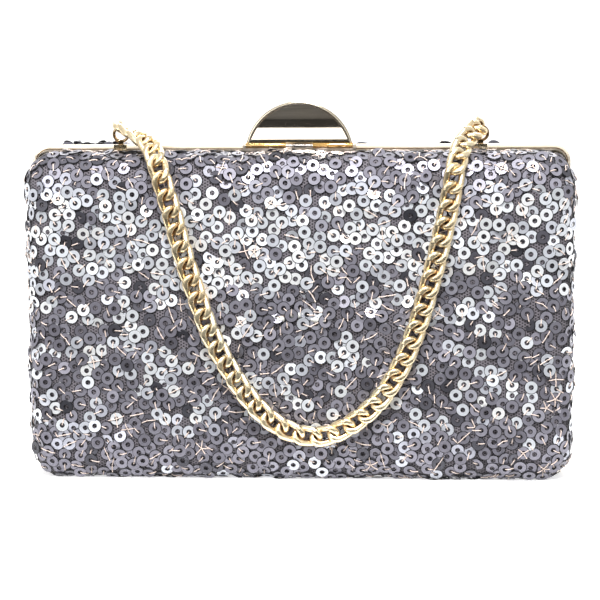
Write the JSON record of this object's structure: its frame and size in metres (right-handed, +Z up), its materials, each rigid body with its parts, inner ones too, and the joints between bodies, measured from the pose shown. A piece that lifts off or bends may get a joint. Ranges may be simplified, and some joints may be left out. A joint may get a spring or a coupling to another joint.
{
  "type": "evening bag",
  "caption": "Hard-case box clutch with sequinned trays in metal frames, a half-moon clasp on top and a curb chain hanging from two loops.",
  "frame": {"origin": "middle of the base, on the surface that the closed bag stands on, in the plane where the two frames meet", "axes": "+X along the width, to the right seen from the front; the front with the chain faces -Y; +Z up towards the clasp"},
  "size_m": [0.2006, 0.0569, 0.1395],
  "materials": {
    "champagne_metal": "light champagne-gold plating, satin polished",
    "gold_metal": "bright yellow-gold plating, polished",
    "hinge_metal": "plated, plain",
    "pin_steel": "drawn wire",
    "sequin_cover": "grey tulle sewn all over with silver-grey flat sequins",
    "wadding": "soft foam wadding",
    "shell_board": "moulded, matt",
    "satin_lining": "grey satin"
  },
  "bodies": {
    "rear_half": {"rear_frame": "champagne_metal", "rear_shell": "shell_board", "rear_padding": "wadding", "rear_cover": "sequin_cover", "rear_lining": "satin_lining", "catch_plate": "champagne_metal", "catch_rivets": "hinge_metal", "hinge_leaf_rear_left": "hinge_metal", "hinge_leaf_rear_right": "hinge_metal", "hinge_rivets_rear": "hinge_metal", "hinge_pin_left": "pin_steel", "hinge_pin_right": "pin_steel"},
    "front_half": {"front_frame": "champagne_metal", "front_shell": "shell_board", "front_padding": "wadding", "front_cover": "sequin_cover", "front_lining": "satin_lining", "hinge_leaf_front_left": "hinge_metal", "hinge_leaf_front_right": "hinge_metal", "hinge_rivets_front": "hinge_metal", "chain_loop_left": "champagne_metal", "chain_loop_right": "champagne_metal", "latch_bracket": "champagne_metal", "latch_rivets": "hinge_metal", "latch_pin": "pin_steel", "latch_spring": "pin_steel"},
    "latch_lever": {"latch_tab": "champagne_metal", "latch_hook": "champagne_metal"},
    "chain": {"chain_end_link_left": "gold_metal", "chain_end_link_right": "gold_metal", "chain_links": "gold_metal"}
  },
  "joints": [
    {"name": "front_hinge", "type": "hinge", "parent": "rear_half", "child": "front_half", "pos_m": [0, 0, 0.0016], "axis": [1, 0, 0], "range_deg": [0, 60]},
    {"name": "latch_tilt", "type": "hinge", "parent": "front_half", "child": "latch_lever", "pos_m": [0, -0.0065, 0.1231], "axis": [1, 0, 0], "range_deg": [-6.5, 18], "stiffness_Nm_per_rad": 0.02, "springref_deg": -6.5},
    {"name": "chain_swing", "type": "hinge", "parent": "front_half", "child": "chain", "pos_m": [0, -0.00265, 0.1299], "axis": [-1, 0, 0], "range_deg": [0, 168]}
  ]
}
